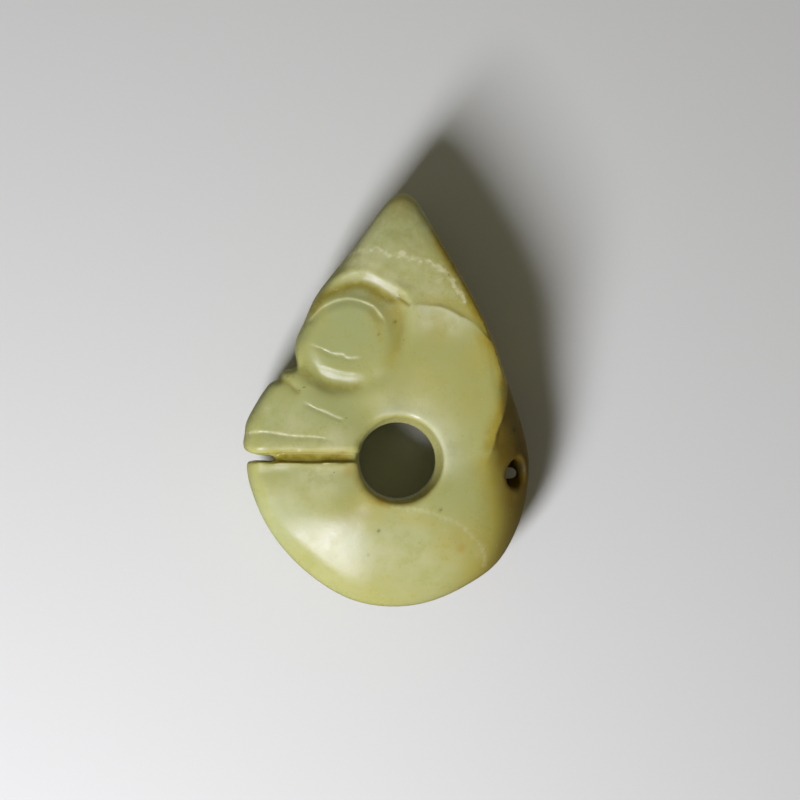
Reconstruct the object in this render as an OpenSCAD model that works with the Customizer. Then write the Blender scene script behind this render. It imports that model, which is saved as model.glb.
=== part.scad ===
// A jade pig dragon: a coiled body with a large head, drawn lying on its side.
// +Z is up through the thickness, +Y runs to the tips of the ears and the face looks to -X.
// The middle of its height and width is on the Z axis, and it rests on the plane Z = 0.

/* [Carving] */
// Height from the lowest point of the coil to the tips of the ears
height = 100; // [80:1:108]
// Thickness from cheek to cheek
thickness = 32; // [29:0.5:33]

/* [Middle hole] */
// Diameter of the hole through the coil
bore_d = 18.6; // [17:0.1:20]
// Diameter of the flared mouth of the hole at the surface
flare_d = 22; // [21:0.1:23]
// Depth of the flare below the highest point of the side
flare_depth = 8; // [6:0.5:10]

/* [Cord hole] */
// Diameter of the straight way through the cord hole
cord_d = 3; // [2.6:0.1:3.2]
// Diameter of the slanting holes drilled from both sides, at their mouths
cord_mouth_d = 7.4; // [7:0.1:7.6]

/* [Mouth slit] */
// Width of the sawn slit between muzzle and tail
slit_w = 1.6; // [1.2:0.1:2.0]
// Width of the blind groove that runs over the slit and carries it on to the middle hole
groove_w = 2.3; // [2.0:0.1:2.8]
// Depth of that groove below the highest point of the side
groove_depth = 5.2; // [4.2:0.1:6.5]

/* [Eye] */
// Radius of the middle of the groove round the eye
eye_r = 12.5; // [11.5:0.1:13]
// Radius of the round bottom of that groove
eye_groove_r = 9; // [7:0.1:10]
// Depth of that groove
eye_groove = 0.65; // [0.5:0.05:0.9]

/* [Hidden] */

// The tables are drawn for a carving 100 high and 32 thick.
plan = height / 100;
rise = thickness / 32;
half = thickness / 2;

// Axis of the middle hole, from the middle of the height and width
bore_at = [2.62, -14.64] * plan;
bore_r = bore_d / 2;
// The body is lofted down to the first radius, inside the wall of the middle hole, and its side is
// divided evenly from the second; both are in the scale of the tables
core_inside = 2;
side_outside = 3;
core_r = (bore_r - core_inside) / plan;
side_r = (bore_r + side_outside) / plan;
// The flare sits a little off the bore, towards the nape, and its narrow end is inside the wall
flare_shift = [0.7, 0.6];
flare_inside = 0.9;
// How far a cutter runs on past the stone
over = 2;

// Silhouette, seen from the side: angle round the middle hole from +X, reach from its axis
ANGLE = 0;
REACH = 1;
OUTLINE = [
    [0, 32.0], [14, 31.45], [26, 31.8], [34, 32.65], [41, 33.9], [48, 36.1],
    [56, 39.1], [64, 43.0], [70, 46.7], [76, 51.4], [81, 56.7], [84, 60.6],
    [86, 63.3], [88.5, 64.75], [91, 63.5], [94, 60.2], [98, 55.5], [102, 51.9],
    [108, 48.2], [117, 43.9], [124, 40.2], [130, 37.9], [132, 36.8], [134.5, 35.15],
    [140, 35.0], [144, 35.3], [150, 36.1], [158, 36.8], [166, 37.6], [172, 37.6],
    [175, 37.1], [177.5, 36.3], [184, 36.3], [196, 35.6],
    [212, 35.0], [232, 34.8], [254, 35.5], [276, 35.3], [300, 34.6], [314, 34.7],
    [328, 33.6], [345, 32.5], [360, 32.0]
];

// Grooves that cross the edge of the face: angle, depth, half width in degrees
DEPTH = 1;
SPREAD = 2;
NOTCHES = [
    [137.5, 1.7, 2.2], [145.2, 1.0, 1.2], [170.2, 0.45, 0.8]
];

// Section through the stone at an angle: radius and height of the crest, how sharply the crest turns
// down and how square the rim is, height of the rim, depth of the cleft along it, how much lower the
// side is at the middle hole than at the crest, and depth of the dish round the hole
CREST = 1;
TOP = 2;
TURN = 3;
SQUARE = 4;
RIM = 5;
CLEFT = 6;
HOLLOW = 7;
DISH = 8;
SECTIONS = [
    [0, 20.4, 14.9, 1.3, 1.9, 1.2, 0, -1.1, 0.6],
    [10, 22.9, 15.5, 1.35, 2.0, 1.2, 0, -0.5, 1.2],
    [20, 26.0, 15.9, 1.4, 2.3, 1.4, 0, 0, 1.8],
    [30, 27.5, 16.0, 1.5, 4.0, 2.0, 0, 0.1, 2.2],
    [38, 29.0, 15.96, 1.7, 6.0, 2.6, 0, 0.1, 2.4],
    [48, 33.0, 15.98, 1.5, 5.0, 3.6, 0.8, 0.2, 2.4],
    [58, 38.0, 15.9, 1.6, 4.5, 4.4, 2.4, 0.4, 2.4],
    [70, 43.5, 15.8, 1.9, 4.6, 4.8, 4.4, 0.5, 2.4],
    [80, 48.0, 15.7, 1.9, 4.6, 4.9, 6.4, 0.5, 2.2],
    [88.5, 46.0, 15.6, 1.9, 4.0, 4.9, 7.6, 0.4, 1.8],
    [98, 45.5, 15.4, 2.1, 4.6, 4.8, 6.2, 0.3, 1.2],
    [110, 41.0, 14.9, 2.3, 3.4, 4.2, 3.6, 0.3, 0.8],
    [122, 34.5, 14.3, 2.5, 2.8, 3.2, 1.2, 0.1, 0.5],
    [134, 31.0, 14.0, 2.8, 3.0, 2.4, 0, -0.2, 0.3],
    [150, 31.5, 14.1, 3.0, 3.0, 2.0, 0, -0.4, 0.1],
    [170, 31.5, 14.1, 2.8, 3.0, 1.8, 0, -0.6, 0],
    [177.5, 31.8, 14.0, 2.6, 3.2, 1.6, 0, -0.7, 0],
    [182.5, 32.4, 12.8, 1.9, 3.8, 1.4, 0, -1.2, 0],
    [197, 32.0, 12.35, 1.4, 4.4, 1.2, 0, -1.8, 0],
    [210, 30.0, 12.2, 1.08, 5.2, 1.2, 0, -2.7, 0],
    [224, 27.6, 12.05, 1.05, 3.9, 1.2, 0, -3.7, 0],
    [240, 27.0, 11.95, 1.05, 3.5, 1.2, 0, -4.0, 0],
    [256, 27.2, 12.0, 1.05, 3.6, 1.2, 0, -3.7, 0],
    [272, 27.0, 12.2, 1.06, 3.7, 1.2, 0, -3.5, 0],
    [300, 25.0, 12.9, 1.15, 2.8, 1.2, 0, -3.1, 0],
    [325, 21.5, 13.6, 1.15, 2.1, 1.2, 0, -2.3, 0],
    [345, 20.0, 14.2, 1.2, 1.9, 1.2, 0, -1.7, 0.2],
    [360, 20.4, 14.9, 1.3, 1.9, 1.2, 0, -1.1, 0.6]
];

// Angles at which a section is lofted: from, to, step
STRETCHES = [
    [0, 48, 4], [48, 78, 3], [78, 99, 1.5], [99, 126, 3], [126, 150, 1.5], [150, 190, 2.5],
    [190, 360, 5]
];
angles = [for (s = STRETCHES) for (a = [s[0]:s[2]:s[1] - s[2] / 2]) a];

// Steps along a section: side, turn of the edge, half of the cleft
side_steps = 6;
turn_steps = 7;
cleft_steps = 2;

// Eye: centre from the axis of the middle hole, height of the side there above the middle plane,
// and how the eye leans, so that the groove is deep under the brow and runs out towards the cheek
eye_at = [-10.9, 30.2];
eye_z = 14.6;
eye_lean = [0, -2.9];

// Grooves sawn in the side of the muzzle, as ends from the axis of the middle hole, their height
// above the middle plane, how far they climb to run out, and the radius of the round that cuts them
SAW_FROM = 0;
SAW_TO = 1;
SAW_Z = 2;
SAW_CLIMB = 3;
SAW_R = 4;
SAW_CUTS = [
    [[-30, 20.6], [-22.5, 15.7], 14.2, 0.8, 0.8],
    [[-38, 7.0], [-15, 5.3], 14.3, 1.05, 0.7]
];

// Cord hole: its straight way, from the axis of the middle hole; the middle of its mouths and their
// height above the middle plane; how far the drill leans outwards and how much it narrows inwards
cord_at = [27.5, -3.0];
cord_mouth_at = [28.8, -3.0];
cord_mouth_z = 7.5;
cord_lean = 40;
cord_taper = 0.8;

// The slit is sawn right through from the edge to here, then runs on parallel outwards for a while
// before its mouth opens by this much
slit_y = 0.55;
groove_y = 0.85;
slit_end = -29.6;
slit_parallel = 3;
slit_mouth_top = 3;
slit_mouth_bottom = 0.1;
slit_reach = -40;

// Smooth curve through the rows of a table, in one column, closing on itself after a full turn
function slope(t, i, c) =
    let (n = len(t) - 1,
         before = i == 0 ? [t[n - 1][0] - 360, t[n - 1][c]] : [t[i - 1][0], t[i - 1][c]],
         after = i == n ? [t[1][0] + 360, t[1][c]] : [t[i + 1][0], t[i + 1][c]],
         w0 = t[i][0] - before[0],
         w1 = after[0] - t[i][0])
    ((t[i][c] - before[1]) / w0 * w1 + (after[1] - t[i][c]) / w1 * w0) / (w0 + w1);
function row_before(t, a, i = 0) = i >= len(t) - 2 || t[i + 1][0] > a ? i : row_before(t, a, i + 1);
function smooth(t, a, c) =
    let (i = row_before(t, a), w = t[i + 1][0] - t[i][0], u = (a - t[i][0]) / w)
    t[i][c] * (1 + 2 * u) * (1 - u) ^ 2 + slope(t, i, c) * w * u * (1 - u) ^ 2
        + t[i + 1][c] * u ^ 2 * (3 - 2 * u) + slope(t, i + 1, c) * w * u ^ 2 * (u - 1);

function bell(d, w) = exp(-(d / w) ^ 2);
function notch(a) = [for (n = NOTCHES) -n[DEPTH] * bell(a - n[ANGLE], n[SPREAD])] * [for (n = NOTCHES) 1];
function reach(a) = smooth(OUTLINE, a, REACH) + notch(a);
// Upper half of a section, from the core to the middle plane, as radius and height above that plane
function side_point(a, crest, r) =
    let (u = (r - core_r) / (crest - core_r))
    [r, smooth(SECTIONS, a, TOP) - smooth(SECTIONS, a, HOLLOW) * (1 - u ^ 2)
        - smooth(SECTIONS, a, DISH) * (1 - u) ^ 3];
function turn_point(a, crest, f) =
    let (rim = smooth(SECTIONS, a, RIM))
    [crest + (reach(a) - crest) * sin(90 * f) ^ (2 / smooth(SECTIONS, a, TURN)),
     rim + (smooth(SECTIONS, a, TOP) - rim) * cos(90 * f) ^ (2 / smooth(SECTIONS, a, SQUARE))];
function cleft_point(a, f) =
    [reach(a) - smooth(SECTIONS, a, CLEFT) * (1 - cos(180 * f)) / 2,
     smooth(SECTIONS, a, RIM) * (1 - f)];
function half_section(a) =
    let (crest = smooth(SECTIONS, a, CREST))
    [side_point(a, crest, core_r),
     for (i = [0:side_steps - 1]) side_point(a, crest, side_r + (crest - side_r) * i / side_steps),
     for (i = [0:turn_steps]) turn_point(a, crest, i / turn_steps),
     for (i = [1:cleft_steps]) cleft_point(a, i / cleft_steps)];

// A whole section in the frame of the middle hole, with its lower half a mirror of the upper
function placed(a, p, side) = [p[0] * cos(a) * plan, p[0] * sin(a) * plan, side * p[1] * rise];
function ring(a) =
    let (u = half_section(a), n = len(u))
    [for (p = u) placed(a, p, 1), for (i = [n - 2:-1:0]) placed(a, u[i], -1)];

// The stone as carved, before any hole is drilled
module carved_body() {
    rings = [for (a = angles) ring(a)];
    n = len(rings[0]);
    m = len(rings);
    polyhedron(
        points = [for (r = rings) for (p = r) p],
        faces = [for (j = [0:m - 1]) for (i = [0:n - 1])
            let (k = (j + 1) % m, h = (i + 1) % n,
                 a = j * n + i, b = k * n + i, c = k * n + h, d = j * n + h)
            each [[a, b, c], [a, c, d]]],
        convexity = 6
    );
}

// The hole through the coil, with a flare at each side that leans towards the nape
module middle_hole() {
    cylinder(h = thickness + over, r = bore_r, center = true, $fn = 96);
    for (side = [0, 1])
        mirror([0, 0, side])
            translate([flare_shift[0], flare_shift[1], half - flare_depth])
                cylinder(h = flare_depth, r1 = bore_r - flare_inside, r2 = flare_d / 2, $fn = 96);
}

// The cord hole at the nape: drilled aslant from both sides until the holes met, then opened straight
module cord_hole() {
    mouth_r = cord_mouth_d / 2;
    deep = cord_mouth_z * rise / cos(cord_lean);
    beyond = 6;
    translate([cord_at[0], cord_at[1], 0] * plan)
        cylinder(h = thickness, r = cord_d / 2, center = true, $fn = 48);
    for (side = [0, 1])
        mirror([0, 0, side])
            translate([cord_mouth_at[0] * plan, cord_mouth_at[1] * plan, cord_mouth_z * rise])
                rotate([0, cord_lean, 0])
                    translate([0, 0, -deep])
                        cylinder(h = deep + beyond, r1 = mouth_r - cord_taper,
                            r2 = mouth_r + cord_taper * beyond / deep, $fn = 48);
}

// The slit of the mouth: open at the edge, and a blind groove in each side as far as the hole
module mouth_slit() {
    translate([0, slit_y, -thickness])
        linear_extrude(2 * thickness)
            polygon([[slit_end, -slit_w / 2], [slit_end, slit_w / 2], [slit_end - slit_parallel, slit_w / 2],
                [slit_reach, slit_mouth_top], [slit_reach, slit_mouth_bottom - slit_w / 2]]);
    groove_length = over - slit_reach - bore_r;
    groove_r = groove_w / 2;
    for (side = [0, 1])
        mirror([0, 0, side])
            translate([slit_reach, groove_y, half - groove_depth + groove_r]) {
                translate([0, -groove_r, 0])
                    cube([groove_length, groove_w, groove_depth]);
                rotate([0, 90, 0])
                    cylinder(h = groove_length, r = groove_r, $fn = 24);
            }
}

// The round groove that each eye is left standing in
module eye_grooves() {
    for (side = [0, 1])
        mirror([0, 0, side])
            translate([eye_at[0] * plan, eye_at[1] * plan, eye_z * rise])
                rotate([eye_lean[0], eye_lean[1], 0])
                    translate([0, 0, eye_groove_r - eye_groove])
                        rotate_extrude($fn = 72)
                            translate([eye_r, 0])
                                circle(r = eye_groove_r, $fn = 32);
}

// The wrinkle of the snout and the line of the upper lip
module saw_cuts() {
    for (cut = SAW_CUTS, side = [0, 1])
        let (along = (cut[SAW_TO] - cut[SAW_FROM]) * plan, climb = cut[SAW_CLIMB] * rise)
            mirror([0, 0, side])
                translate([cut[SAW_FROM][0] * plan, cut[SAW_FROM][1] * plan, cut[SAW_Z] * rise])
                    rotate([0, 90 - atan2(climb, norm(along)), atan2(along[1], along[0])])
                        cylinder(h = norm([along[0], along[1], climb]), r = cut[SAW_R], $fn = 24);
}

module pig_dragon() {
    color([0.76, 0.77, 0.52])
        translate([bore_at[0], bore_at[1], half])
            difference() {
                carved_body();
                eye_grooves();
                saw_cuts();
                middle_hole();
                cord_hole();
                mouth_slit();
            }
}

pig_dragon();
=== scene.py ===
import math
import bmesh
import bpy
import numpy as np
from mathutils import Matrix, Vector


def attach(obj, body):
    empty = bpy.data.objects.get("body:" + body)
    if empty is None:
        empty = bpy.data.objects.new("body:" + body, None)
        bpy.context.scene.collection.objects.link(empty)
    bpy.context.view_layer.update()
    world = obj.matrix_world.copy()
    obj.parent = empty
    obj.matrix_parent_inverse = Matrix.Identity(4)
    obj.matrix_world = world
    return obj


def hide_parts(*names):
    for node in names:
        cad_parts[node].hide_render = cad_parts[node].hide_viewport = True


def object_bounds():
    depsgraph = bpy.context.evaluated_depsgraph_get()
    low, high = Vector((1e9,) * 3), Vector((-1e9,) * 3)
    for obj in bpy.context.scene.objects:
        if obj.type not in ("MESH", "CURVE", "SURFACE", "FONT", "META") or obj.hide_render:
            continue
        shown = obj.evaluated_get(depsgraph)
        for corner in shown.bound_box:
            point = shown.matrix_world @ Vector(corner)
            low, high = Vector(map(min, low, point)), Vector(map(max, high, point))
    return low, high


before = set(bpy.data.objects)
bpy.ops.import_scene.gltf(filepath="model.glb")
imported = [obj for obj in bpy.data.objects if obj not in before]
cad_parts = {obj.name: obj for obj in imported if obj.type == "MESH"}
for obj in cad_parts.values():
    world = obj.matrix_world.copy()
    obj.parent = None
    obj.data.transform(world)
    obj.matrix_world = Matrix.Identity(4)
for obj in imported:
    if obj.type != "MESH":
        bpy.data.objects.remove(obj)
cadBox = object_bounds()
scene = bpy.context.scene
print("frame loaded")

# Where a pixel of the photo lies on the carving, seen from above
photo = {
    "metresPerPixel": 0.00024272,   # the carving is 412 px and 100 mm high
    "origin": (386.1, 400.2),       # the pixel over the frame's origin
    "middle": (400, 400),
    "pixels": 800,
    "midHeight": 0.016,             # half of the thickness
    "bore": (396.8, 460.5),         # the pixel over the middle hole's axis
}
measure = {
    "block": 4000,      # vertices measured at a time, to spare memory
    "far": 1000.0,      # mm, what counts as the distance of a vertex out of reach
}


def fromPhoto(px, py):
    scale = photo["metresPerPixel"]
    return np.array([(px - photo["origin"][0]) * scale, (photo["origin"][1] - py) * scale])


def curveThrough(points, step=0.00025):  # smooth curve through pixels of the photo, as close points in metres
    spots = np.array([fromPhoto(*p) for p in points])
    ends = np.vstack([2 * spots[0] - spots[1], spots, 2 * spots[-1] - spots[-2]])
    out = []
    for i in range(1, len(ends) - 2):
        a, b, c, d = ends[i - 1:i + 3]
        count = max(2, int(np.linalg.norm(c - b) / step))
        for u in np.linspace(0, 1, count, endpoint=False):
            out.append(0.5 * (2 * b + (c - a) * u + (2 * a - 5 * b + 4 * c - d) * u ** 2
                              + (3 * b - a - 3 * c + d) * u ** 3))
    out.append(ends[-2])
    return np.array(out)


def beside(xy, curve, reach):
    # for each vertex: mm to the left of the curve (right is negative) and place along it, 0 to 1.
    # Only vertices in the curve's box, widened by the reach in mm, are measured
    side = np.full(len(xy), measure["far"])
    place = np.zeros(len(xy))
    low, high = curve.min(0) - reach * 0.001, curve.max(0) + reach * 0.001
    near = np.nonzero(np.all((xy > low) & (xy < high), axis=1))[0]
    tangent = np.gradient(curve, axis=0)
    tangent /= np.linalg.norm(tangent, axis=1)[:, None]
    for block in np.array_split(near, max(1, len(near) // measure["block"])):
        if not len(block):
            continue
        gap = xy[block, None, :] - curve[None, :, :]
        far = np.linalg.norm(gap, axis=2)
        k = far.argmin(1)
        rows = np.arange(len(block))
        across = tangent[k, 0] * gap[rows, k, 1] - tangent[k, 1] * gap[rows, k, 0]
        side[block] = np.where(across >= 0, far[rows, k], -far[rows, k]) * 1000
        place[block] = k / (len(curve) - 1)
    return side, place


def ramp(v, start, end):
    u = np.clip((v - start) / (end - start), 0, 1)
    return u * u * (3 - 2 * u)


def between(v, low, high, fade):
    return ramp(v, low, low + fade) * ramp(v, high, high - fade)


def bell(v, width):
    return np.exp(-(v / width) ** 2)


def endFade(place, cut):
    return ramp(place, 0, cut["fadeIn"]) * ramp(1 - place, 0, cut["fadeOut"])


# Stone: the carved solid as one fine even mesh
stone = {
    "weld": 1e-6,
    "voxel": 0.0005,
    "easeRounds": 220,
    "easeIn": 0.60,
    "easeOut": -0.62,
    "lastRounds": 2,
    "easePlain": 0.5,           # share of the way to its neighbours that plain smoothing moves a vertex
    "alongX": 0.8,              # least share of an edge's length along X, to run along it
    "upright": (0.05, 0.35),    # Z of the normal: below it is rim, above it a carved side
    "sideways": 0.5,            # share of a cut's sideways move that is made
}


def fineCopy(node, name):
    rough = bpy.data.objects.new(name + "Rough", node.data.copy())
    scene.collection.objects.link(rough)
    bm = bmesh.new()
    bm.from_mesh(rough.data)
    bmesh.ops.remove_doubles(bm, verts=bm.verts, dist=stone["weld"])
    bm.to_mesh(rough.data)
    bm.free()
    remesh = rough.modifiers.new("remesh", "REMESH")
    remesh.mode = "VOXEL"
    remesh.voxel_size = stone["voxel"]
    ready = rough.evaluated_get(bpy.context.evaluated_depsgraph_get())
    mesh = bpy.data.meshes.new_from_object(ready)
    mesh.name = name
    mesh.materials.clear()
    bpy.data.objects.remove(rough)
    piece = bpy.data.objects.new(name, mesh)
    scene.collection.objects.link(piece)
    return piece


def vertsOf(mesh):
    co = np.empty(len(mesh.vertices) * 3)
    mesh.vertices.foreach_get("co", co)
    return co.reshape(-1, 3)


def normalsOf(mesh):
    mesh.update()
    no = np.empty(len(mesh.vertices) * 3)
    mesh.vertex_normals.foreach_get("vector", no)
    return no.reshape(-1, 3)


def setVerts(mesh, co):
    mesh.vertices.foreach_set("co", co.ravel())
    mesh.update()


def edgeEnds(mesh):
    pairs = np.empty(len(mesh.edges) * 2, dtype=np.int32)
    mesh.edges.foreach_get("vertices", pairs)
    return pairs.reshape(-1, 2).T


def towardsNeighbours(c, a, b, count, factor):
    total = np.bincount(a, c[b], len(c)) + np.bincount(b, c[a], len(c))
    return c + factor * (total / count - c)


def ease(mesh, rounds):  # takes out facets and voxel steps, and keeps the volume
    a, b = edgeEnds(mesh)
    co = vertsOf(mesh)
    count = np.bincount(a, minlength=len(co)) + np.bincount(b, minlength=len(co))
    for i in range(rounds * 2):
        factor = stone["easeIn"] if i % 2 == 0 else stone["easeOut"]
        for axis in range(3):
            co[:, axis] = towardsNeighbours(co[:, axis], a, b, count, factor)
    setVerts(mesh, co)


def easeAlong(mesh, co, share, rounds, axes, alongX=False):  # plain smoothing, by each vertex's share
    a, b = edgeEnds(mesh)
    near = (share[a] > 0) | (share[b] > 0)
    if alongX:  # only over edges that run along the X axis
        step = np.abs(co[a] - co[b])
        near &= step[:, 0] > stone["alongX"] * np.linalg.norm(step, axis=1)
    a, b = a[near], b[near]
    used, local = np.unique(np.concatenate([a, b]), return_inverse=True)
    a, b = local[:len(a)], local[len(a):]
    count = np.bincount(a, minlength=len(used)) + np.bincount(b, minlength=len(used))
    factor = stone["easePlain"] * share[used] * (count > 1)
    for i in range(rounds):
        for axis in axes:
            co[used, axis] = towardsNeighbours(co[used, axis], a, b, count, factor)


def refine(mesh, near):  # halves the edges between vertices that are near
    bm = bmesh.new()
    bm.from_mesh(mesh)
    edges = [e for e in bm.edges if near[e.verts[0].index] and near[e.verts[1].index]]
    bmesh.ops.subdivide_edges(bm, edges=edges, cuts=1, use_grid_fill=True)
    bm.to_mesh(mesh)
    bm.free()


body = fineCopy(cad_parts["pig_dragon"], "pig_dragon_stone")
ease(body.data, stone["easeRounds"])
print("stone remeshed,", len(body.data.vertices), "vertices")

# Lines of the carving, as pixels of the photo, all alike on both sides of the stone
lines = {
    "cheekEdge": [(404, 305.5), (413.6, 306.7), (421, 306.7), (429.7, 307.7), (438.3, 308.2),
                  (447, 311), (453.9, 314.5), (459.1, 317.8), (464.3, 320.1), (469.5, 323.6),
                  (474.7, 327.9), (479.9, 333.5), (485.1, 338.7), (489.5, 343), (493.8, 348),
                  (498.5, 358), (502.5, 370), (504.6, 380.3), (505.2, 393.3), (504.3, 400),
                  (503.4, 407.8), (501, 417.4), (497.4, 425.2), (495, 432.4), (493.5, 440),
                  (490.2, 449.8), (487, 457), (482, 465)],
    "browGroove": [(303, 331), (308, 320), (314, 309), (321.7, 298.6), (329, 294), (336.7, 291),
                   (349.8, 286), (361, 285), (370, 287.9), (379.6, 293), (389, 297.7), (396, 300.8),
                   (402, 303.3), (408, 307)],
    "cheekGroove": [(404, 305), (402.5, 318), (401, 335), (398.5, 349), (395, 362), (389, 374)],
    "discTop": [(306.5, 325.5), (308.7, 322.8), (320.8, 310.6), (329.2, 305.5), (338.6, 301.8),
                (349.8, 300.3), (361, 302.2), (370.3, 305.9), (375, 309), (380, 315.5), (384, 321),
                (387, 326.5)],
    "discRight": [(369, 311), (374.5, 318), (378, 326), (379.5, 334), (382.4, 345)],
    "discBottom": [(306, 342.5), (313.3, 345.4), (323.6, 349), (331, 352.8), (338.6, 354.7), (343.7, 355),
                   (347.9, 358), (355.4, 358), (364.7, 357.6)],
    "rollLine": [(316, 364.5), (320.8, 366.4), (330, 368.9), (338.6, 371.6), (346, 373.4), (355.4, 373.8),
                 (362, 373.2)],
    "underEye": [(296.5, 368.5), (299.6, 369.9), (308.7, 374.9), (317.5, 380.8), (327, 384.3), (336.7, 386.4),
                 (346, 387.5), (355.4, 387.3), (364, 385.5), (372, 382)],
    "underFold": [(326, 387.3), (333, 391), (341.8, 396)],
    "wrinkle": [(280, 379.8), (285.5, 382), (290.8, 385.5), (296, 390), (300.5, 393.4), (304, 396.5)],
    "wrinkleLine": [(303, 400.8), (311, 404.8), (319, 408.8), (326, 411.4), (334.8, 415.4), (345.4, 419.6)],
    "upperLip": [(246.4, 434.5), (252, 432.3), (264.4, 431.2), (273.2, 431.9), (286.4, 434.1), (299.6, 435.5),
                 (312.8, 435.9), (321.6, 436.8), (330.4, 438.6), (337, 440.4)],
    "slit": [(246, 457.2), (275, 457.0), (357, 457.0)],
    "chip": [(397.5, 296), (400.5, 298.5), (404, 301), (408, 303.7), (412, 306)],
    "earEdge": [(437, 235), (448.5, 257), (460, 280), (471, 302), (480.5, 319), (488.5, 335), (495, 349)],
    "earRust": [(430, 228), (436, 243), (443, 254), (450, 265), (456, 275), (464, 291), (472, 306),
                (480, 322), (487, 336)],
    "vein": [(352, 257), (356, 255), (360, 253), (364, 252), (372, 252), (376, 250.5), (382, 253), (384, 254),
             (389, 258), (394, 257), (398, 259), (402, 255.5), (405, 258), (409, 260.5), (414, 261),
             (419, 262.5), (424, 263), (431, 265), (436, 267.5), (440, 270), (444, 273.5), (447, 277),
             (450, 281), (453, 286), (456, 290), (459, 293), (461, 297), (463, 302)],
    "crack": [(392, 506), (408, 507), (422, 509), (433, 512.5), (444, 516), (455, 521), (463, 526),
              (468, 531), (472, 536), (477, 541), (481, 547), (483.5, 555), (484, 564)],
}

# How each line is cut: depth in mm; where its wall on the left starts and ends, and its half width on
# the right, in mm from the line; and the share of its length over which each end fades
cuts = {
    "browGroove": {"depth": 0.36, "left": (0.6, 3.2), "right": 1.2, "fadeIn": 0.12, "fadeOut": 0.12},
    "cheekGroove": {"depth": 0.12, "left": (0, 2.6), "right": 1.6, "fadeIn": 0.10, "fadeOut": 0.50},
    "underEye": {"depth": 0.42, "left": (1.3, 4.3), "right": 1.6, "fadeIn": 0.45, "fadeOut": 0.40},
    "underFold": {"depth": 0.08, "left": (0, 1.0), "right": 0.6, "fadeIn": 0.30, "fadeOut": 0.30},
    "wrinkle": {"depth": 0.15, "left": (0, 1.5), "right": 0.9, "fadeIn": 0.01, "fadeOut": 0.40},
    "chip": {"depth": 0.12, "left": (0, 0.9), "right": 0.5, "fadeIn": 0.20, "fadeOut": 0.20},
}

# Thin lines: cut mostly in the mesh, the rest by the material's bump, which keeps them crisp. Each drops
# from its left over one wall, then climbs back slowly. The worn ones are uneven and paler. Depth and wall
# are in mm
fineLines = {
    "Clean": {
        "discTop": {"depth": 0.30, "wall": 0.85, "fadeIn": 0.10, "fadeOut": 0.12},
        "rollLine": {"depth": 0.08, "wall": 0.40, "fadeIn": 0.25, "fadeOut": 0.35},
        "chip": {"depth": 0.16, "wall": 0.45, "fadeIn": 0.20, "fadeOut": 0.20},
    },
    "Worn": {
        "discBottom": {"depth": 0.14, "wall": 0.50, "fadeIn": 0.35, "fadeOut": 0.25},
        "wrinkleLine": {"depth": 0.15, "wall": 0.45, "fadeIn": 0.20, "fadeOut": 0.10},
        "upperLip": {"depth": 0.15, "wall": 0.45, "fadeIn": 0.05, "fadeOut": 0.20},
    },
}
fine = {
    "reach": 3.4,       # walls, how far from a thin line its cut has run out
    "climb": 1.6,       # power of the way back up
    "inMesh": 0.7,      # share of a thin line's depth that the mesh holds
    "band": 0.5,        # mm, how far past its wall the mesh is made finer
    "edgeBand": 0.7,    # mm, the same on both sides of the cheek's edge
    "painted": 4.0,     # mm, how far from a thin line its distance is painted
    "past": 0.4,        # mm, how far past its cut its depth is painted
    "wall": 0.4,        # mm, the wall that is painted where no thin line is near
}


def lineProfile(side, wall):
    below = -side / wall
    past = np.clip(below - 0.5, 0, None)
    return ramp(below, -0.5, 0.5) * ramp(past, fine["reach"] - 0.5, 0) ** fine["climb"]


def fromLine(name, reach=4):
    return beside(xyz[:, :2], curves[name], reach)


curves = {name: curveThrough(points) for name, points in lines.items()}
thinLines = {name: line for members in fineLines.values() for name, line in members.items()}
xyz = vertsOf(body.data)
near = np.abs(fromLine("cheekEdge", reach=2)[0]) < fine["edgeBand"]
for name, line in thinLines.items():
    near |= np.abs(fromLine(name, reach=2)[0]) < line["wall"] + fine["band"]
refine(body.data, near & (np.abs(normalsOf(body.data)[:, 2]) > stone["upright"][1]))
print("mesh refined at the lines,", len(body.data.vertices), "vertices")

xyz = vertsOf(body.data)
upright = normalsOf(body.data)
facing = np.sign(xyz[:, 2] - photo["midHeight"])
onSide = ramp(np.abs(upright[:, 2]), *stone["upright"])     # 1 on the two carved sides, 0 round the rim
away = (xyz[:, :2] - fromPhoto(*photo["bore"])) * 1000
turn = np.degrees(np.arctan2(away[:, 1], away[:, 0]))
fromBore = np.linalg.norm(away, axis=1)

# The edges of the slit's groove run straight, in mm from the bore
slit = {"y": 0.85, "half": 1.15, "band": 1.5, "from": -28.5, "to": -10.5, "fade": 1, "rounds": 150}
overSlit = away[:, 1] - slit["y"]
fromSlit = np.abs(overSlit) - slit["half"]
share = between(away[:, 0], slit["from"], slit["to"], slit["fade"]) * (fromSlit < slit["band"])
easeAlong(body.data, xyz, share, slit["rounds"], (1, 2), alongX=True)

# The coil is one soft round: the change from side to rim is eased, in degrees and mm round the bore
coil = {"from": -171, "to": -20, "fade": 12, "inner": (12.5, 16), "upright": (0.2, 0.5), "rounds": 90}
share = between(turn, coil["from"], coil["to"], coil["fade"])
share *= ramp(fromBore, *coil["inner"]) * ramp(np.abs(upright[:, 2]), *coil["upright"])
easeAlong(body.data, xyz, share, coil["rounds"], (2,))

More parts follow.
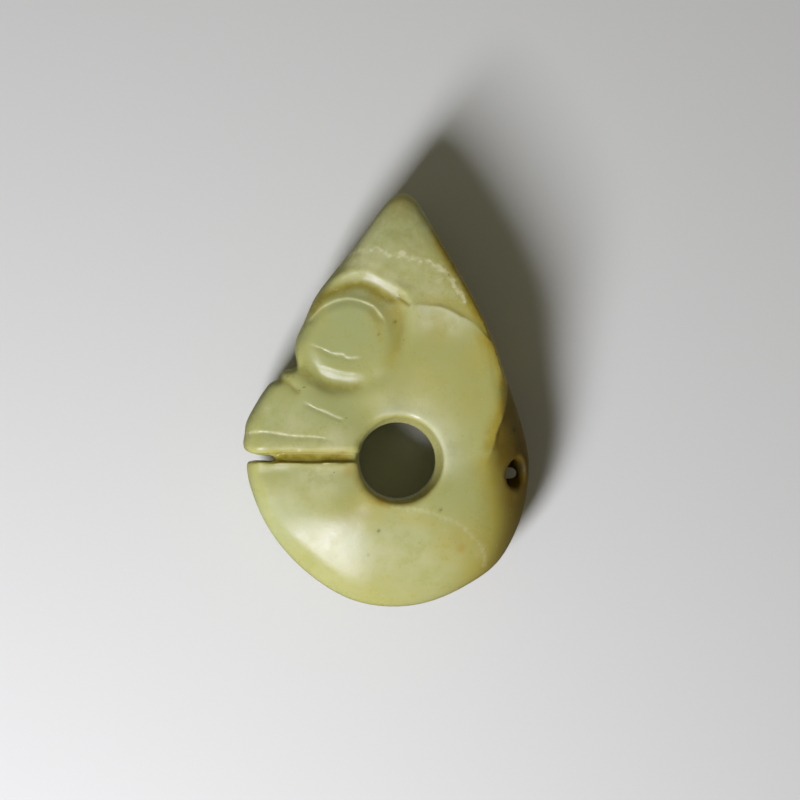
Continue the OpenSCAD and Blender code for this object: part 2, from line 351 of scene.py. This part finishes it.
# The side reaches out flat to the edge of the cheek and of the ear's back
flatRim = {
    "turns": (34, 41, 55, 65, 80, 87),
    "shares": (0, 0.8, 0.8, 0.65, 0.5, 0.1),    # of the fall that is taken back, at those turns
    "top": 0.0318,                              # m, the height that the fall is measured from
    "most": 0.004,                              # m, up to this fall its whole share is taken back
    "none": 0.009,                              # m, from this fall on nothing is
    "inset": (0.15, 0.9),                       # mm in from the rim, over which it starts
    "inner": (9, 6),                            # mm in from the rim, between which it ends
    "perDegree": 2,                             # places on the rim in each degree of turn
}
bins = ((turn + 180) * flatRim["perDegree"]).astype(int)
bins = np.clip(bins, 0, 360 * flatRim["perDegree"] - 1)
rim = np.zeros(360 * flatRim["perDegree"])
np.maximum.at(rim, bins, fromBore)
inset = rim[bins] - fromBore
fall = flatRim["top"] - photo["midHeight"] - np.abs(xyz[:, 2] - photo["midHeight"])
share = np.interp(turn, flatRim["turns"], flatRim["shares"])
share *= ramp(inset, *flatRim["inset"]) * ramp(inset, *flatRim["inner"])
share *= ramp(fall, flatRim["none"], flatRim["most"])
xyz[:, 2] += facing * np.clip(fall, 0, flatRim["most"]) * share

# The cuts and rises that follow are summed up, in mm outwards. Only the groove's filling is made at once
lift = np.zeros(len(xyz))

for name, cut in cuts.items():
    side, place = fromLine(name, reach=6)
    wall = np.where(side > 0, 1 - ramp(side, *cut["left"]), bell(side, cut["right"]))
    lift -= cut["depth"] * wall * endFade(place, cut)

for name, line in thinLines.items():
    side, place = fromLine(name)
    lift -= fine["inMesh"] * line["depth"] * lineProfile(side, line["wall"]) * endFade(place, line)

# Beyond the brow groove the ear is lowered, so that the groove's wall is one narrow band: in mm from its line
brow = {"from": 2.4, "to": 4.8, "drop": 0.64, "reach": 9.0, "limit": 20, "fadeIn": 0.25, "fadeOut": 0.12}
side, place = fromLine("browGroove", reach=brow["limit"])
beyond = np.clip(side - brow["to"], 0, None)
fade = endFade(place, brow) * (side < brow["limit"])
lift -= brow["drop"] * ramp(side, brow["from"], brow["to"]) * bell(beyond, brow["reach"]) * fade

# The cheek stands over the ear and the nape: it rises a little to its edge, then drops
cheek = {
    "lip": 0.30, "lipWidth": 1.8, "lipEnd": 0.4,
    "earDrop": 0.08, "earReach": 5.0,
    "napeDrop": 1.1, "napeReach": 4.5,
    "step": (-0.1, 1.2),
    "napeFrom": (0.45, 0.65),   # place along the edge, over which the ear's drop turns into the nape's
    "fadeIn": 0.18, "fadeOut": 0.16,
}
side, place = fromLine("cheekEdge", reach=20)
nape = ramp(place, *cheek["napeFrom"])
fade = endFade(place, cheek)
outside = np.clip(side, 0, None)
drop = cheek["earDrop"] * (1 - nape) * np.exp(-outside / cheek["earReach"]) \
    + cheek["napeDrop"] * nape * np.exp(-outside / cheek["napeReach"])
rise = np.where(side <= 0, np.exp(np.minimum(side, 0) / cheek["lipWidth"]), bell(side, cheek["lipEnd"]))
lift -= drop * ramp(side, *cheek["step"]) * fade
lift += cheek["lip"] * rise * (1 - nape) * fade

# The mouth of the bore has a slightly raised lip, on the side towards the ears and the nape
boreLip = {"rise": 0.10, "radius": 11.7, "width": 0.55, "from": -30, "to": 125, "fade": 30}
lipShare = between(turn, boreLip["from"], boreLip["to"], boreLip["fade"])
lift += boreLip["rise"] * bell(fromBore - boreLip["radius"], boreLip["width"]) * lipShare

# The groove over the slit: its edges are rounded, its floor is filled up, and the tail is lowered beside it
groove = {
    "lip": (0.34, 1.6),             # mm, drop of the upper edge and how far from it the rounding starts
    "tail": (0.12, 1.2),            # the same at the lower edge
    "inside": 0.3,                  # mm inside the edge, where the rounding ends
    "outside": 0.3,                 # mm outside the edge, where the filling ends
    "end": (1.5, 0.5),              # mm past the groove's end at the bore, between which both fade out
    "floor": (12.05, 13.05),        # mm over the middle, the level of the filling at the groove's two ends
    "fill": 0.8,                    # share of what lies below that level that is filled up
    "ridge": 0.45,                  # mm, the most that the tail is lowered
    "ridgeTurns": (-171, -178),     # degrees round the bore, over which it starts
    "ridgeRadii": (12, 24),         # mm from the bore, over which it starts
    "ridgeInside": 0.2,             # mm inside the edge, where it ends
}
drop, reach = np.where(overSlit[:, None] > 0, groove["lip"], groove["tail"]).T
close = np.clip(1 - fromSlit / reach, 0, 1) * (fromSlit > -groove["inside"])
inGroove = ramp(away[:, 0], slit["to"] + groove["end"][0], slit["to"] + groove["end"][1])
lift -= drop * np.where(overSlit > 0, ramp(close, 0, 1), close ** 2) * inGroove
height = np.abs(xyz[:, 2] - photo["midHeight"]) * 1000
sunk = np.clip(np.interp(away[:, 0], (slit["from"], slit["to"]), groove["floor"]) - height, 0, None)
sunk *= (fromSlit < groove["outside"]) * inGroove
sunk *= ramp(away[:, 0], slit["from"], slit["from"] + slit["fade"])
xyz[:, 2] += facing * groove["fill"] * sunk * 0.001
onTail = (overSlit < 0) * (turn < 0) * (fromSlit > -groove["ridgeInside"])
lift -= groove["ridge"] * ramp(turn, *groove["ridgeTurns"]) * ramp(fromBore, *groove["ridgeRadii"]) * onTail

onNormal = upright * (lift * 0.001 * onSide)[:, None]
xyz[:, 2] += onNormal[:, 2]
xyz[:, :2] += onNormal[:, :2] * stone["sideways"]
setVerts(body.data, xyz)
ease(body.data, stone["lastRounds"])
xyz = vertsOf(body.data)
xyz[:, 2] = np.clip(xyz[:, 2], cadBox[0][2], cadBox[1][2])
setVerts(body.data, xyz)
print("lines cut")


def paint(mesh, name, values):
    layer = mesh.attributes.new(name, "FLOAT", "POINT")
    layer.data.foreach_set("value", values.astype(np.float32))


for group, members in fineLines.items():
    gap, wall = np.full(len(xyz), fine["painted"]), np.full(len(xyz), fine["wall"])
    depth = np.zeros(len(xyz))
    for name, line in members.items():
        side, place = fromLine(name)
        nearer = np.abs(side) < np.abs(gap)
        within = np.abs(side) < fine["reach"] * line["wall"] + fine["past"]
        gap[nearer] = side[nearer]
        depth[nearer] = (line["depth"] * endFade(place, line) * onSide * within)[nearer]
        wall[nearer] = line["wall"]
    paint(body.data, "fineGap" + group, gap)
    paint(body.data, "fineDepth" + group, depth)
    paint(body.data, "fineWall" + group, wall)

# Tones of the stone, with a few patches of painted light and shade: patches as pixel, radius in pixels and
# strength
patches = {
    "grey": [(350, 330, 42, 0.7), (285, 415, 32, 0.5), (400, 225, 34, 0.15), (345, 262, 26, 0.3),
             (410, 440, 22, 0.3), (300, 470, 30, 0.5), (345, 430, 30, 0.4), (450, 490, 40, 0.35)],
    "warm": [(378, 298, 10, 0.8), (391, 316, 10, 0.9), (404, 203, 12, 0.9), (440, 320, 30, 0.6),
             (480, 360, 20, 0.6), (420, 395, 45, 0.35), (470, 400, 25, 0.4), (250, 460, 12, 0.3),
             (370, 505, 24, 0.5), (460, 540, 26, 1.0), (400, 585, 60, 0.2)],
    # the pale patch at (325, 540) is a painted highlight where the key's highlight falls on the coil, and the
    # one at (403, 207) is painted light that lifts the shade of the ear's tip
    "pale": [(403, 207, 14, 0.5), (385, 225, 16, 0.5), (405, 235, 40, 0.35), (368, 255, 30, 0.8),
             (422, 254, 6, 0.7), (427, 270, 4, 0.6), (419, 278, 3, 0.6), (400, 285, 30, 0.7),
             (432, 290, 24, 0.8), (362, 293, 9, 0.7), (420, 308, 16, 0.5), (445, 318, 14, 0.6),
             (425, 319, 14, 0.9), (452, 328, 10, 0.8), (378, 373, 5, 0.6), (268, 408, 6, 0.5),
             (300, 425, 26, 0.5), (400, 430, 40, 0.25), (440, 440, 22, 0.4), (332, 447, 24, 0.9),
             (444, 470, 2, 0.7), (322, 476, 26, 0.9), (300, 500, 45, 0.5), (444, 529, 1.6, 0.8),
             (325, 540, 40, 0.3), (480, 552, 8, 0.8), (431, 559, 1.6, 0.8), (345, 560, 40, 0.4),
             (420, 560, 50, 0.5), (435, 572, 2.4, 0.8)],
    "olive": [(420, 236, 18, 0.6), (330, 392, 16, 0.45), (470, 470, 14, 0.4), (338, 499, 9, 0.4),
              (350, 508, 18, 0.8), (362, 512, 12, 0.6), (395, 592, 55, 0.35)],
    "rust": [(434, 232, 4, 0.8), (441, 246, 4, 0.9), (450, 263, 5, 0.8), (459, 284, 4, 0.7),
             (468, 302, 4, 0.5), (392, 303, 4, 0.4), (396, 312, 4, 0.3), (349, 470, 5, 0.7),
             (455, 536, 8, 0.3), (460, 546, 5, 0.7)],
    "streak": [(405, 225, 55, 0.65), (360, 265, 25, 0.7), (445, 280, 30, 0.7), (275, 420, 26, 0.5)],
    "dull": [(283, 511, 19, 1.0), (268, 468, 9, 0.8)],
    # the wide speck at (521, 466) is painted shade inside the cord hole
    "speck": [(399, 297, 1.1, 0.5), (395, 323, 1.5, 0.7), (379, 335, 1.2, 0.5), (513, 430, 1.9, 0.7),
              (343, 452, 1.2, 0.6), (521, 466, 8, 0.85), (440, 508, 1.4, 0.7), (379, 529, 1.5, 0.8),
              (369, 553, 1.2, 0.5)],
}
tones = {}
for name, spots in patches.items():
    tone = np.zeros(len(xyz))
    for px, py, radius, amount in spots:
        far = np.linalg.norm(xyz[:, :2] - fromPhoto(px, py), axis=1)
        tone = np.maximum(tone, amount * bell(far, radius * photo["metresPerPixel"]))
    tones[name] = tone

# Stains that follow a line, and two painted highlights: half width in mm, how far to its left, strength, and
# the stretch it covers
stainsAndHighlights = {
    "stain": [("browGroove", 1.0, -0.4, 0.65, 0.10, 0.95), ("underEye", 1.2, 0.0, 0.55, 0.0, 0.9),
              ("wrinkle", 0.7, 0.0, 0.6, 0.0, 0.9), ("chip", 0.45, -0.5, 0.7, 0.0, 0.95),
              ("cheekGroove", 0.8, 0.0, 0.25, 0.05, 0.7), ("cheekEdge", 1.5, -1.0, 0.5, 0.72, 1.0),
              ("earEdge", 1.3, 0.0, 0.8, 0.0, 1.0), ("slit", 1.2, 0.0, 1.0, 0.22, 1.0)],
    "gold": [("browGroove", 1.2, -0.3, 0.7, 0.10, 0.98), ("discRight", 0.9, 0.0, 0.55, 0.0, 1.0),
             ("cheekGroove", 1.7, -0.9, 0.5, -0.1, 0.95), ("cheekEdge", 1.7, 1.6, 0.40, 0.03, 0.36),
             ("cheekEdge", 1.9, -0.7, 0.85, 0.30, 0.97), ("earEdge", 2.4, 0.0, 0.9, 0.0, 1.0),
             ("slit", 1.6, 0.2, 1.0, 0.2, 1.0)],
    "rust": [("earRust", 0.8, 0.0, 0.9, 0.0, 1.0), ("cheekEdge", 1.1, -0.2, 0.7, 0.34, 0.92)],
    # pale: painted highlights on the wall of the disc's top line and on the slit's rounded upper lip, where
    # they face the key light
    "pale": [("discTop", 0.4, 0.15, 0.9, 0.05, 0.95), ("slit", 1.2, 2.8, 0.8, 0.15, 0.85)],
    "warm": [("crack", 2.5, -2.5, 0.5, 0.0, 1.0)],
}
stainEnds = {"past": 0.02, "fade": 0.12}    # how far a stain runs on and how it fades, as shares of the line


def addTone(name, amount):
    tones[name] = np.maximum(tones.get(name, 0), amount)


for tone, marks in stainsAndHighlights.items():
    for name, width, offset, amount, start, end in marks:
        side, place = fromLine(name, reach=6)
        share = between(place, start - stainEnds["past"], end + stainEnds["past"], stainEnds["fade"])
        addTone(tone, amount * bell(side - offset, width) * share)

# Brown stone of the nape, partly its own colour and partly painted shade on the side that faces away from the
# key: turn round the bore, radii in mm where it starts and is full, strength
napeStart = [(-75, 35.0, 36.5, 0.0), (-55, 32.0, 35.0, 0.3), (-40, 29.0, 33.5, 0.6), (-30, 26.0, 32.0, 0.75),
             (-20, 23.0, 30.0, 0.9), (-10, 21.0, 27.5, 0.95), (0, 20.5, 26.0, 1.0), (8, 22.6, 24.6, 1.0),
             (15, 24.0, 25.4, 1.0), (22, 26.8, 27.8, 1.0), (30, 30.0, 31.0, 0.9), (37, 32.6, 33.6, 0.8),
             (45, 34.5, 36.0, 0.0)]
turns, starts, fulls, amounts = np.array(napeStart, float).T
start, full = np.interp(turn, turns, starts), np.interp(turn, turns, fulls)

# Round the rim the brown ends ragged, by a long and a short wave: amounts in degrees of turn, rates per metre
napeRim = {
    "long": 6, "longRate": 330, "longStart": 1.3,
    "short": 4, "shortRates": (900, 560),
    "back": 4,      # how far it draws back on the whole
    "fade": 14,     # how much wider its end fades
}
longWave = np.sin(xyz[:, 2] * napeRim["longRate"] + napeRim["longStart"])
shortWave = np.sin(xyz[:, 0] * napeRim["shortRates"][0] + xyz[:, 2] * napeRim["shortRates"][1])
ragged = napeRim["long"] * longWave + napeRim["short"] * shortWave - napeRim["back"]
wavy = turn + ragged * (1 - onSide) * (turn > 0)
within = ramp(wavy, turns[0], turns[1]) * ramp(wavy, turns[-1], turns[-2] - napeRim["fade"] * (1 - onSide))

# A golden border lies before it: turns and its width there, how far it runs on, and strength
napeBorder = {"turns": (-10, 0, 8), "widths": (5, 4.5, 1.5), "past": 2.5, "amount": 0.85}
border = start - np.interp(turn, napeBorder["turns"], napeBorder["widths"])
addTone("gold", napeBorder["amount"] * ramp(fromBore, border, start + napeBorder["past"]) * within)
tones["nape"] = ramp((fromBore - start) / (full - start), 0, 1) * np.interp(turn, turns, amounts) * within
addTone("dull", tones["nape"])

# Painted light: a pale glow beyond the bore's lip on the side that faces the key, and a painted highlight
# inside the cheek's edge
paintedGlow = {"from": (10.8, 11.6), "radius": 12.0, "reach": 3.2, "amount": 0.95}
beyond = np.clip(fromBore - paintedGlow["radius"], 0, None)
tones["paintedGlow"] = paintedGlow["amount"] * lipShare * np.exp(-beyond / paintedGlow["reach"]) * ramp(fromBore, *paintedGlow["from"])
paintedEdgeHighlight = {"edge": (0.3, -0.05), "reach": 2.4, "start": (0, 0.11), "end": (0.42, 0.26), "amount": 0.95}
side, place = fromLine("cheekEdge", reach=12)
border = ramp(side, *paintedEdgeHighlight["edge"]) * np.exp(np.minimum(side, 0) / paintedEdgeHighlight["reach"])
addTone("paintedGlow", paintedEdgeHighlight["amount"] * border * ramp(place, *paintedEdgeHighlight["start"]) * ramp(place, *paintedEdgeHighlight["end"]))

# A brown ring lies inside the flare of the bore, strongest at the bottom
flareRing = {"radius": 10.3, "width": 0.9, "rust": 0.9, "stain": 0.35, "lowTurn": -100, "lowSpread": 75}
ring = bell(fromBore - flareRing["radius"], flareRing["width"]) * onSide
addTone("rust", flareRing["rust"] * ring * bell(turn - flareRing["lowTurn"], flareRing["lowSpread"]))
addTone("stain", flareRing["stain"] * ring)

for name, tone in tones.items():
    paint(body.data, name, tone)
for name in ("vein", "crack"):
    paint(body.data, name + "Gap", np.minimum(np.abs(fromLine(name)[0]), fine["painted"]))
print("tones painted")

# Jade: its colours are linear
jade = {
    "green": (0.40, 0.395, 0.125),
    "grey": (0.355, 0.39, 0.162),
    "warm": (0.46, 0.375, 0.065),
    "pale": (0.55, 0.54, 0.28),
    # pale colour of the painted glow round the bore and of the painted highlight inside the cheek's edge
    "paintedGlow": (0.56, 0.57, 0.35),
    "gold": (0.40, 0.32, 0.035),
    "olive": (0.27, 0.235, 0.045),
    "rust": (0.39, 0.235, 0.015),
    "stain": (0.225, 0.175, 0.006),
    # the nape's brown, darkened past the stone's own colour as painted shade
    "nape": (0.150, 0.094, 0.006),
    "vein": (0.64, 0.62, 0.36),
    "speck": (0.06, 0.045, 0.01),
    "greyFrom": (0.42, 0.68),       # range of the clouds over which the green turns grey
    "greyMost": 0.55,               # share of grey at the end of it
    "polishFrom": (0.3, 0.7),       # range of the mottling over which the polish changes
    "roughness": (0.25, 0.35),      # at both ends of it
    "dull": 0.21,                   # how much rougher the dull places are
    "specular": 0.21,
    "specularTint": (0.87, 0.86, 1.0),
    "ior": 1.6,
    "inside": 0.5,                  # share of the light that goes into the stone
    "insideRadius": (1.0, 0.85, 0.4),
    "depth": 0.0030,                # m, how deep it goes
    "uneven": 0.02,                 # mm, how uneven the polish is
    "finer": 0.3,                   # how strong the finer of its two noises is
}

# Noises of the stone: scale, detail, roughness and distortion
noises = {
    "clouds": (55, 4, 0.6, 0.4),
    "mottle": (240, 5, 0.65, 0),
    "grain": (500, 4, 0.55, 0),
    "uneven": (420, 4, 0.6, 0),
    "finer": (2200, 3, 0.6, 0),
    "ragged": (750, 4, 0.7, 0),
    "broken": (700, 3, 0.55, 0),
    "streaks": (330, 4, 0.6, 0.5),
    "specks": (1500, 2, 0.5, 0),
    "speckPlaces": (130, 2, 0.55, 0),
    "flecks": (1900, 2, 0.5, 0),
    "fleckPlaces": (90, 2, 0.55, 0),
}

# Painted tones in the order they are laid on: the noise that breaks each up, the range of that noise,
# and the tone's share at both ends of it
layers = [
    ("grey", "mottle", (0.3, 0.7), (0.55, 1.0)),
    ("warm", "clouds", (0.3, 0.6), (0.35, 0.9)),
    ("olive", "mottle", (0.35, 0.6), (0.2, 0.6)),
    ("pale", "mottle", (0.35, 0.65), (0.35, 0.95)),
    ("paintedGlow", "mottle", (0.3, 0.7), (0.75, 0.95)),
    ("gold", "mottle", (0.3, 0.7), (0.65, 0.95)),
    ("rust", "mottle", (0.35, 0.65), (0.25, 0.85)),
    ("nape", "clouds", (0.25, 0.6), (0.85, 1.0)),
    ("stain", "grain", (0.3, 0.6), (0.35, 0.9)),
]

jadeMat = bpy.data.materials.new("jade")
jadeMat.use_nodes = True
tree = jadeMat.node_tree
coords = tree.nodes.new("ShaderNodeTexCoord")


def makeNoise(scale, detail, rough, warp):
    n = tree.nodes.new("ShaderNodeTexNoise")
    n.inputs["Scale"].default_value = scale
    n.inputs["Detail"].default_value = detail
    n.inputs["Roughness"].default_value = rough
    n.inputs["Distortion"].default_value = warp
    tree.links.new(coords.outputs["Object"], n.inputs["Vector"])
    return n.outputs["Fac"]


noise = {name: makeNoise(*settings) for name, settings in noises.items()}


def remap(value, span, onto=(0, 1)):
    n = tree.nodes.new("ShaderNodeMapRange")
    n.interpolation_type = "SMOOTHSTEP"
    n.inputs["From Min"].default_value, n.inputs["From Max"].default_value = span
    n.inputs["To Min"].default_value, n.inputs["To Max"].default_value = onto
    tree.links.new(value, n.inputs["Value"])
    return n.outputs["Result"]


def calc(kind, a, b=0):
    n = tree.nodes.new("ShaderNodeMath")
    n.operation = kind
    for socket, v in zip(n.inputs, (a, b)):
        if isinstance(v, (int, float)):
            socket.default_value = v
        else:
            tree.links.new(v, socket)
    return n.outputs["Value"]


def times(a, b):
    return calc("MULTIPLY", a, b)


def painted(name):
    n = tree.nodes.new("ShaderNodeAttribute")
    n.attribute_name = name
    return n.outputs["Fac"]


def over(under, colour, share):
    n = tree.nodes.new("ShaderNodeMix")
    n.data_type = "RGBA"
    tree.links.new(share, n.inputs[0])
    if isinstance(under, tuple):
        n.inputs[6].default_value = (*under, 1)
    else:
        tree.links.new(under, n.inputs[6])
    n.inputs[7].default_value = (*colour, 1)
    return n.outputs[2]


def layTones():
    clouds = remap(noise["clouds"], jade["greyFrom"], (0, jade["greyMost"]))
    colour = over(jade["green"], jade["grey"], clouds)
    for tone, kind, span, shares in layers:
        colour = over(colour, jade[tone], times(painted(tone), remap(noise[kind], span, shares)))
    return colour


# The pale vein of the ear and the crack line of the coil, both ragged and broken up
veins = {
    "lines": [("vein", 1.0, 0.9), ("crack", 0.8, 0.28)],    # reach in mm and strength
    "ragged": 3.2,              # mm, how far the noise moves their edges
    "broken": (0.35, 0.6),      # range of the noise that breaks them up
    "least": 0.2,               # strength where they are broken
}


def addVeins(colour):
    ragged = times(calc("SUBTRACT", noise["ragged"], 0.5), veins["ragged"])
    for name, reach, strength in veins["lines"]:
        gap = calc("ADD", painted(name + "Gap"), ragged)
        broken = remap(noise["broken"], veins["broken"], (veins["least"], strength))
        colour = over(colour, jade["vein"], times(remap(gap, (reach, 0)), broken))
    return colour


# The worn thin lines have pale edges, and are shallower where they are more worn
worn = {
    "from": (0.38, 0.6),        # range of the noise over which a place is worn
    "edge": (0.75, 0.1),        # mm from the line, over which it turns pale
    "strength": 3.0,            # share of the pale colour for each mm of depth
    "most": 0.6,                # most share of it
    "depths": (1.15, 0.6),      # factor on the depth where unworn and where worn
}
wear = remap(noise["uneven"], worn["from"])


def addWornEdges(colour):
    edge = remap(calc("ABSOLUTE", painted("fineGapWorn")), worn["edge"], (0, worn["strength"]))
    share = times(times(edge, wear), painted("fineDepthWorn"))
    return over(colour, jade["vein"], calc("MINIMUM", share, worn["most"]))


# The ear and the muzzle are streaked with olive and with pale: range of the noise, and share of both
streaks = {"from": (0.40, 0.62), "amount": 0.22}


def addStreaks(colour):
    streak = remap(noise["streaks"], streaks["from"])
    for tone, shares in (("olive", (streaks["amount"], 0)), ("pale", (0, streaks["amount"]))):
        colour = over(colour, jade[tone], times(painted("streak"), remap(streak, (0, 1), shares)))
    return colour


# Dark specks and pale flecks are scattered: noise and range of the marks, and of the places where they lie
scattered = {
    "speck": ("specks", (0.70, 0.74), "speckPlaces", (0.55, 0.65)),
    "pale": ("flecks", (0.69, 0.74), "fleckPlaces", (0.50, 0.62)),
}
scatteredShare = 0.7    # most share of their colour


def addMarks(colour):
    colour = over(colour, jade["speck"], painted("speck"))
    for tone, (kind, span, places, placeSpan) in scattered.items():
        share = times(remap(noise[kind], span), remap(noise[places], placeSpan, (0, scatteredShare)))
        colour = over(colour, jade[tone], share)
    return colour


def jadeRoughness():
    polish = remap(noise["mottle"], jade["polishFrom"], jade["roughness"])
    return calc("ADD", polish, times(painted("dull"), jade["dull"]))


def thinCuts(group):  # lineProfile again, for the share of the depth that the mesh doesn't hold
    below = calc("DIVIDE", times(painted("fineGap" + group), -1), painted("fineWall" + group))
    past = calc("MAXIMUM", calc("SUBTRACT", below, 0.5), 0)
    climb = calc("POWER", remap(past, (fine["reach"] - 0.5, 0)), fine["climb"])
    ends = remap(calc("ABSOLUTE", below), (fine["reach"], fine["reach"] - 0.5))
    cut = times(times(remap(below, (-0.5, 0.5)), climb), ends)
    if group == "Worn":
        cut = times(cut, remap(wear, (0, 1), worn["depths"]))
    return times(cut, times(painted("fineDepth" + group), 1 - fine["inMesh"]))


def jadeHeight():  # in mm: the fine unevenness of the polish, less the thin lines
    uneven = calc("ADD", noise["uneven"], times(noise["finer"], jade["finer"]))
    height = times(uneven, jade["uneven"])
    for group in fineLines:
        height = calc("SUBTRACT", height, thinCuts(group))
    return height


def makeJade():
    inputs = tree.nodes["Principled BSDF"].inputs
    colour = layTones()
    for add in (addVeins, addWornEdges, addStreaks, addMarks):
        colour = add(colour)
    tree.links.new(colour, inputs["Base Color"])
    tree.links.new(jadeRoughness(), inputs["Roughness"])
    inputs["Specular IOR Level"].default_value = jade["specular"]
    inputs["Specular Tint"].default_value = (*jade["specularTint"], 1)
    inputs["IOR"].default_value = jade["ior"]
    inputs["Subsurface Weight"].default_value = jade["inside"]
    inputs["Subsurface Radius"].default_value = jade["insideRadius"]
    inputs["Subsurface Scale"].default_value = jade["depth"]
    bump = tree.nodes.new("ShaderNodeBump")
    bump.inputs["Distance"].default_value = 0.001   # the height is in mm
    tree.links.new(jadeHeight(), bump.inputs["Height"])
    tree.links.new(bump.outputs["Normal"], inputs["Normal"])


makeJade()
body.data.materials.append(jadeMat)
body.data.shade_smooth()
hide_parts("pig_dragon")
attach(body, "root")
print("jade made")

# Studio: a pale floor, a camera straight above, a key softbox at the lower left and a weak fill opposite
studio = {
    "floorSide": 4.0,
    "floorColour": (0.66, 0.655, 0.60),
    "floorRoughness": 0.8,
    "lens": 200,
    "sensor": 36,
    "world": 0.11,
    "worldColour": (1.0, 0.97, 0.74),
}

# Turn round from +X and tilt off straight above in degrees, distance and size in metres
lights = {
    "key": {"turn": 237, "tilt": 43, "far": 0.6, "size": (0.13, 0.33), "power": 4.4,
            "colour": (0.97, 0.98, 1.12)},
    "fill": {"turn": 60, "tilt": 40, "far": 1.2, "size": (0.9, 0.9), "power": 0.4,
             "colour": (1.0, 0.97, 0.74)},
}


def makeFloor():
    bm = bmesh.new()
    bmesh.ops.create_grid(bm, x_segments=1, y_segments=1, size=studio["floorSide"] / 2)
    mesh = bpy.data.meshes.new("floor")
    bm.to_mesh(mesh)
    bm.free()
    mat = bpy.data.materials.new("floorPaper")
    mat.use_nodes = True
    shader = mat.node_tree.nodes["Principled BSDF"]
    shader.inputs["Base Color"].default_value = (*studio["floorColour"], 1)
    shader.inputs["Roughness"].default_value = studio["floorRoughness"]
    mesh.materials.append(mat)
    floor = bpy.data.objects.new("floor", mesh)
    scene.collection.objects.link(floor)
    floor.visible_glossy = False    # the stone's dark rim doesn't mirror it


def makeLight(name, lamp):
    data = bpy.data.lights.new(name, "AREA")
    data.shape = "RECTANGLE"
    data.size, data.size_y = lamp["size"]
    data.energy = lamp["power"]
    data.color = lamp["colour"]
    light = bpy.data.objects.new(name, data)
    t, s = math.radians(lamp["turn"]), math.radians(lamp["tilt"])
    towards = Vector((math.cos(t) * math.sin(s), math.sin(t) * math.sin(s), math.cos(s)))
    light.location = towards * lamp["far"] + Vector((0, 0, photo["midHeight"]))
    light.rotation_euler = (-towards).to_track_quat("-Z", "Y").to_euler()
    scene.collection.objects.link(light)


def makeCamera():
    data = bpy.data.cameras.new("camera")
    data.lens, data.sensor_width = studio["lens"], studio["sensor"]
    width = photo["pixels"] * photo["metresPerPixel"]
    x, y = fromPhoto(*photo["middle"])
    camera = bpy.data.objects.new("camera", data)
    camera.location = (x, y, photo["midHeight"] + width * studio["lens"] / studio["sensor"])
    scene.collection.objects.link(camera)
    scene.camera = camera


def makeWorld():
    world = bpy.data.worlds.new("world")
    world.use_nodes = True
    background = world.node_tree.nodes["Background"]
    background.inputs["Color"].default_value = (*studio["worldColour"], 1)
    background.inputs["Strength"].default_value = studio["world"]
    scene.world = world


makeFloor()
for name, lamp in lights.items():
    makeLight(name, lamp)
makeCamera()
makeWorld()
scene.view_settings.view_transform = "Standard"

print("studio ready")
